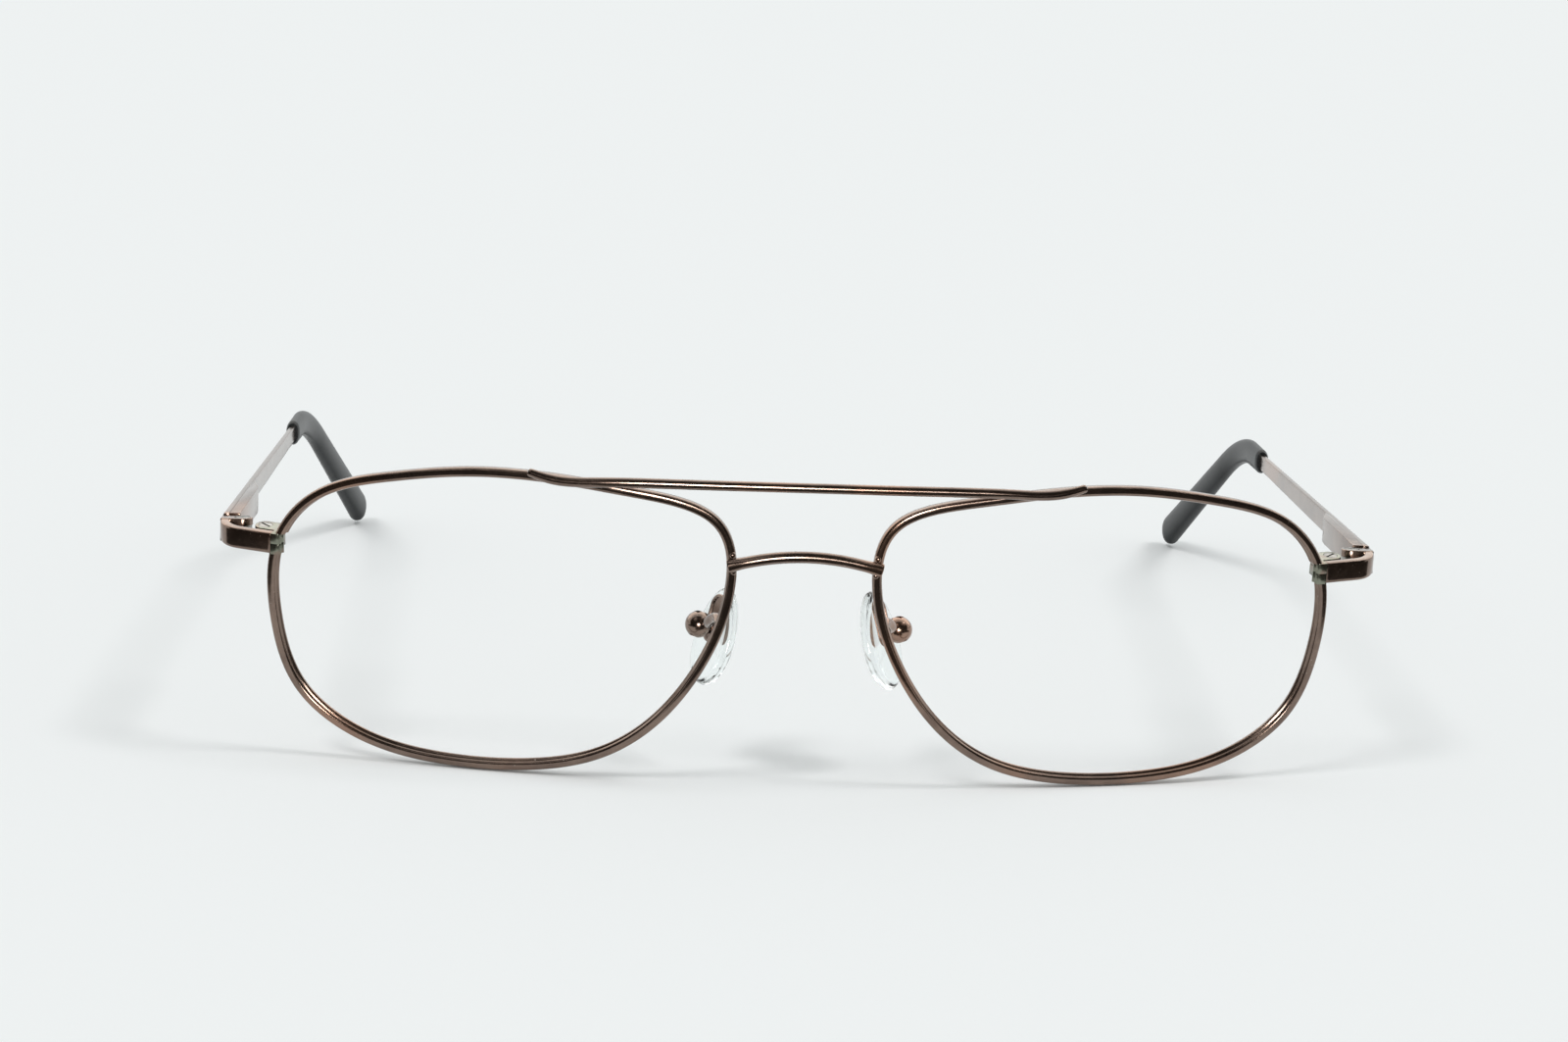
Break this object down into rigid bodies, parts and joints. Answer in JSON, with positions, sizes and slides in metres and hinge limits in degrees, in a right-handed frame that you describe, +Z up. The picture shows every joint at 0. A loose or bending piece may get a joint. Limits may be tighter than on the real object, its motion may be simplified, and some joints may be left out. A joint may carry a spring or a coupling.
{
  "type": "eyeglass frame",
  "caption": "Metal full-rim eyeglass frame with a straight top bar over an arched bridge, sprung folding temples, plastic tips and clear nose pads.",
  "frame": {"origin": "middle of the frame's footprint, on the surface that it stands on with its temples open", "axes": "+X towards the wearer's left, +Y back along the temples, +Z up"},
  "size_m": [0.1412, 0.1423, 0.039],
  "materials": {
    "frame": "polished bronze-brown plating over nickel alloy wire",
    "steel": "bright steel, turned or wound",
    "tip": "smooth dark grey acetate, slightly translucent",
    "pad": "clear soft vinyl"
  },
  "bodies": {
    "front": {"left_rim": "frame", "right_rim": "frame", "top_bar": "frame", "bridge": "frame", "left_closing_block_upper": "frame", "left_closing_block_lower": "frame", "left_rim_screw": "steel", "left_end_piece": "frame", "left_pad_arm": "frame", "left_pad_screw": "steel", "right_closing_block_upper": "frame", "right_closing_block_lower": "frame", "right_rim_screw": "steel", "right_end_piece": "frame", "right_pad_arm": "frame", "right_pad_screw": "steel"},
    "left_hinge_pin": {"left_hinge_screw": "steel"},
    "left_slider": {"left_hinge_slider": "steel"},
    "left_temple_arm": {"left_hinge_box": "frame", "left_temple": "frame", "left_temple_tip": "tip", "left_spring_bush": "steel", "left_flex_spring": "steel"},
    "left_pad": {"left_nose_pad": "pad", "left_pad_holder": "frame"},
    "right_hinge_pin": {"right_hinge_screw": "steel"},
    "right_slider": {"right_hinge_slider": "steel"},
    "right_temple_arm": {"right_hinge_box": "frame", "right_temple": "frame", "right_temple_tip": "tip", "right_spring_bush": "steel", "right_flex_spring": "steel"},
    "right_pad": {"right_nose_pad": "pad", "right_pad_holder": "frame"}
  },
  "joints": [
    {"name": "left_flex", "type": "hinge", "parent": "front", "child": "left_hinge_pin", "pos_m": [0.0675, -0.05395, 0.02707], "axis": [0, 0.0468, 0.9989], "range_deg": [-12, 0], "stiffness_Nm_per_rad": 0.12, "springref_deg": 6.88},
    {"name": "left_fold", "type": "hinge", "parent": "left_hinge_pin", "child": "left_slider", "pos_m": [0.0675, -0.05395, 0.02707], "axis": [0, 0.0468, 0.9989], "range_deg": [0, 87]},
    {"name": "left_slide", "type": "slide", "parent": "left_slider", "child": "left_temple_arm", "axis": [0, 0.9989, -0.0468], "range_m": [0, 0.00055]},
    {"name": "left_pad_rock", "type": "hinge", "parent": "front", "child": "left_pad", "pos_m": [0.0121, -0.05898, 0.018], "axis": [0.5299, 0.8471, -0.0397], "range_deg": [-10, 10]},
    {"name": "right_flex", "type": "hinge", "parent": "front", "child": "right_hinge_pin", "pos_m": [-0.0675, -0.05395, 0.02707], "axis": [0, -0.0468, -0.9989], "range_deg": [-12, 0], "stiffness_Nm_per_rad": 0.12, "springref_deg": 6.88},
    {"name": "right_fold", "type": "hinge", "parent": "right_hinge_pin", "child": "right_slider", "pos_m": [-0.0675, -0.05395, 0.02707], "axis": [0, -0.0468, -0.9989], "range_deg": [0, 78]},
    {"name": "right_slide", "type": "slide", "parent": "right_slider", "child": "right_temple_arm", "axis": [0, 0.9989, -0.0468], "range_m": [0, 0.00055]},
    {"name": "right_pad_rock", "type": "hinge", "parent": "front", "child": "right_pad", "pos_m": [-0.0121, -0.05898, 0.018], "axis": [-0.5299, 0.8471, -0.0397], "range_deg": [-10, 10]}
  ],
  "couplings": [
    {"joint": "left_slide", "follows": "left_flex", "m_per_rad": -0.002623},
    {"joint": "right_slide", "follows": "right_flex", "m_per_rad": -0.002623}
  ]
}
